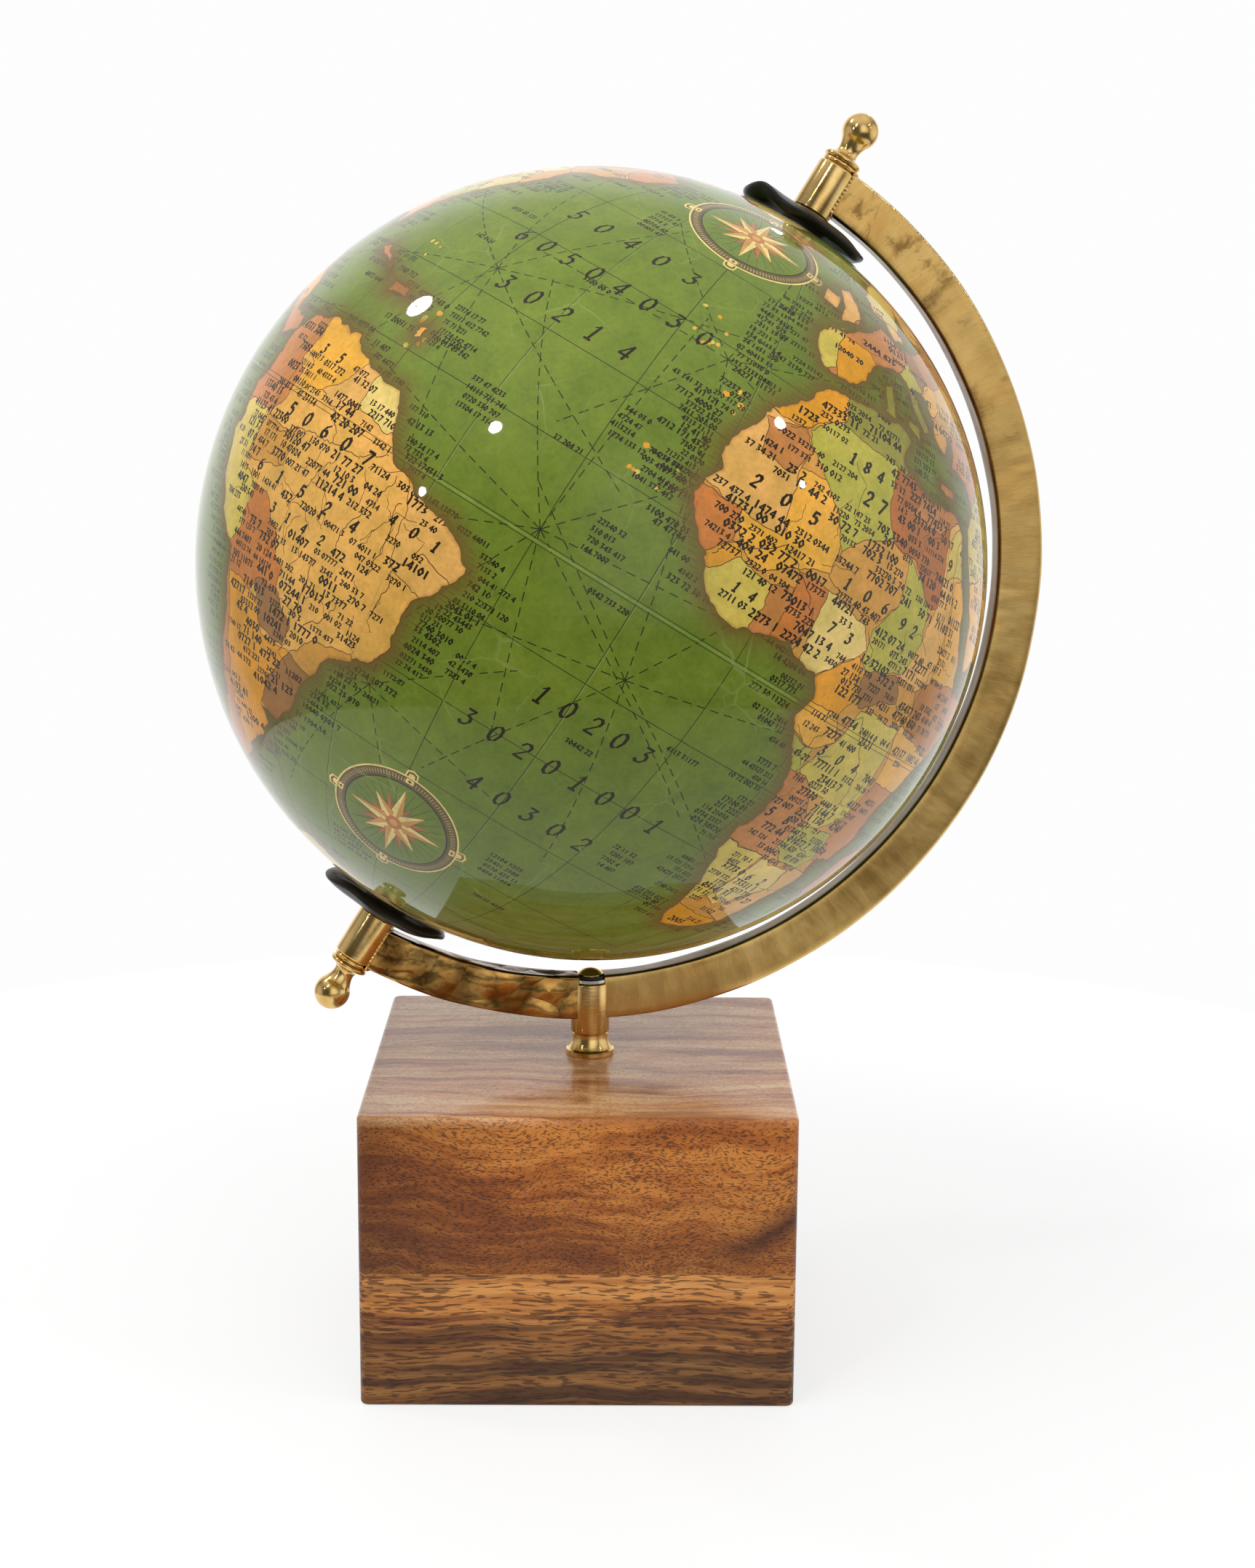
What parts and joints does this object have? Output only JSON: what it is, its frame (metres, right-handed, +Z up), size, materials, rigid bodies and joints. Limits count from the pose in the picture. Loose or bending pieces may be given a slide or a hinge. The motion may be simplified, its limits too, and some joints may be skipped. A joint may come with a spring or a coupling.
{
  "type": "desktop globe on stand",
  "caption": "Tabletop globe that spins on a tilted axis in a half-ring brass arm, on a short turned stem bolted through a square laminated wood block.",
  "frame": {"origin": "centre of the wooden block's underside, on the surface it stands on", "axes": "+Z up, the longest extent; +X to the right, the side the arm is on; +Y to the back. The block is square to X and Y, and the arm is turned 9 degrees about the stem"},
  "size_m": [0.221, 0.203, 0.3228],
  "materials": {
    "wood_upper": "clear gloss lacquer over red-brown hardwood",
    "wood_lower": "clear gloss lacquer over tan hardwood with dark streaks",
    "felt": "pressed wool felt",
    "steel": "zinc plated",
    "brass_turned": "turned and polished",
    "brass_bar": "hand-brushed, aged",
    "black_fibre": "matt",
    "black_rubber": "satin, slightly wavy",
    "nylon": "natural",
    "globe_shell": "moulded",
    "map_paper": "printed antique-style map under thick clear lacquer"
  },
  "bodies": {
    "base": {"base_upper_block": "wood_upper", "base_lower_block": "wood_lower", "base_felt_disc": "felt", "base_washer": "steel", "base_nut": "steel", "stem_bolt": "brass_turned", "stem_collar": "brass_turned", "stem_steel_washer": "steel", "stem_fibre_washer": "black_fibre"},
    "arm": {"stem_boss": "brass_turned", "arm_main_section": "brass_bar", "arm_tail_section": "brass_bar", "north_pole_boss": "brass_turned", "north_pivot_pin": "steel", "north_finial": "brass_turned", "north_pole_cap": "black_rubber", "north_thrust_washer": "nylon", "south_pole_boss": "brass_turned", "south_pivot_pin": "steel", "south_finial": "brass_turned", "south_pole_cap": "black_rubber", "south_thrust_washer": "nylon"},
    "globe": {"north_hemisphere": "globe_shell", "south_hemisphere": "globe_shell", "equator_joint_ring": "globe_shell", "north_pole_bush": "nylon", "south_pole_bush": "nylon", "map_gore_01": "map_paper", "map_gore_02": "map_paper", "map_gore_03": "map_paper", "map_gore_04": "map_paper", "map_gore_05": "map_paper", "map_gore_06": "map_paper", "map_gore_07": "map_paper", "map_gore_08": "map_paper", "map_gore_09": "map_paper", "map_gore_10": "map_paper", "map_gore_11": "map_paper", "map_gore_12": "map_paper"}
  },
  "joints": [
    {"name": "arm_swivel", "type": "hinge", "parent": "base", "child": "arm", "pos_m": [0.0025, 0, 0.09], "axis": [0, 0, 1], "range_deg": [-180, 180]},
    {"name": "globe_spin", "type": "hinge", "parent": "arm", "child": "globe", "pos_m": [0.0025, 0, 0.2072], "axis": [0.5205, 0.0824, 0.8499], "continuous": true}
  ]
}
